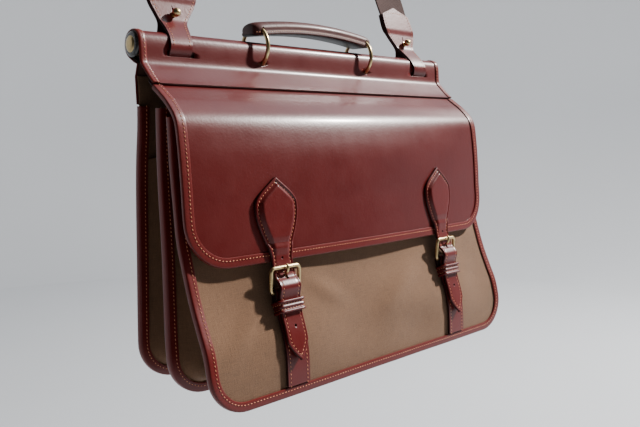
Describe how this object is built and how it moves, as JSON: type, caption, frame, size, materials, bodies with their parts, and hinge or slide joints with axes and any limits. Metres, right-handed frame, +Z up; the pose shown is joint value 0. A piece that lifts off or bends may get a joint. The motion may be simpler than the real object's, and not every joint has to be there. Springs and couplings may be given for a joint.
{
  "type": "satchel",
  "caption": "Satchel with a round top bar, a buckled leather flap, two canvas compartments, a ringed handle and a shoulder strap.",
  "frame": {"origin": "underside of the shoulder strap's top, where it lies on a shoulder", "axes": "+X to the right of the bag as its flap is seen, -Y the way the flap faces, +Z up"},
  "size_m": [0.4282, 0.2873, 0.8048],
  "materials": {
    "top_bar": "plain round rod",
    "bar_sleeve": "polished red-brown hide",
    "bar_cap_left": "polished, slightly aged",
    "bar_cap_right": "polished, slightly aged",
    "flap": "polished red-brown hide",
    "flap_binding": "polished red-brown edge strip",
    "back_panel": "matt brown canvas",
    "middle_panel": "matt brown canvas",
    "front_panel": "matt brown canvas",
    "back_binding": "polished red-brown edge strip",
    "middle_binding": "polished red-brown edge strip",
    "front_binding": "polished red-brown edge strip",
    "rear_gusset": "matt brown canvas",
    "front_gusset": "matt brown canvas",
    "handle": "polished red-brown hide",
    "handle_ring_left": "polished, slightly aged",
    "handle_ring_right": "polished, slightly aged",
    "strap_end_left": "polished red-brown hide",
    "strap_end_right": "polished red-brown hide",
    "stud_left": "polished, slightly aged",
    "stud_right": "polished, slightly aged",
    "shoulder_webbing": "herringbone webbing",
    "closure_strap_left": "polished red-brown hide",
    "closure_strap_right": "polished red-brown hide",
    "lower_strap_left": "polished red-brown hide",
    "lower_strap_right": "polished red-brown hide",
    "buckle_left": "polished, slightly aged",
    "buckle_right": "polished, slightly aged",
    "buckle_prong_left": "polished, slightly aged",
    "buckle_prong_right": "polished, slightly aged",
    "keeper_left": "polished red-brown hide",
    "keeper_right": "polished red-brown hide"
  },
  "bodies": {
    "bag": {"top_bar": "top_bar", "bar_sleeve": "bar_sleeve", "bar_cap_left": "bar_cap_left", "bar_cap_right": "bar_cap_right", "flap": "flap", "flap_binding": "flap_binding", "back_panel": "back_panel", "middle_panel": "middle_panel", "front_panel": "front_panel", "back_binding": "back_binding", "middle_binding": "middle_binding", "front_binding": "front_binding", "rear_gusset": "rear_gusset", "front_gusset": "front_gusset", "strap_end_left": "strap_end_left", "strap_end_right": "strap_end_right", "stud_left": "stud_left", "stud_right": "stud_right", "shoulder_webbing": "shoulder_webbing", "closure_strap_left": "closure_strap_left", "closure_strap_right": "closure_strap_right", "lower_strap_left": "lower_strap_left", "lower_strap_right": "lower_strap_right", "buckle_left": "buckle_left", "buckle_right": "buckle_right", "buckle_prong_left": "buckle_prong_left", "buckle_prong_right": "buckle_prong_right", "keeper_left": "keeper_left", "keeper_right": "keeper_right"},
    "carry_handle": {"handle": "handle", "handle_ring_left": "handle_ring_left", "handle_ring_right": "handle_ring_right"}
  },
  "joints": [
    {"name": "handle_swing", "type": "hinge", "parent": "bag", "child": "carry_handle", "pos_m": [0, -0.15, -0.4929], "axis": [1, 0, 0], "range_deg": [-60, 60]}
  ]
}
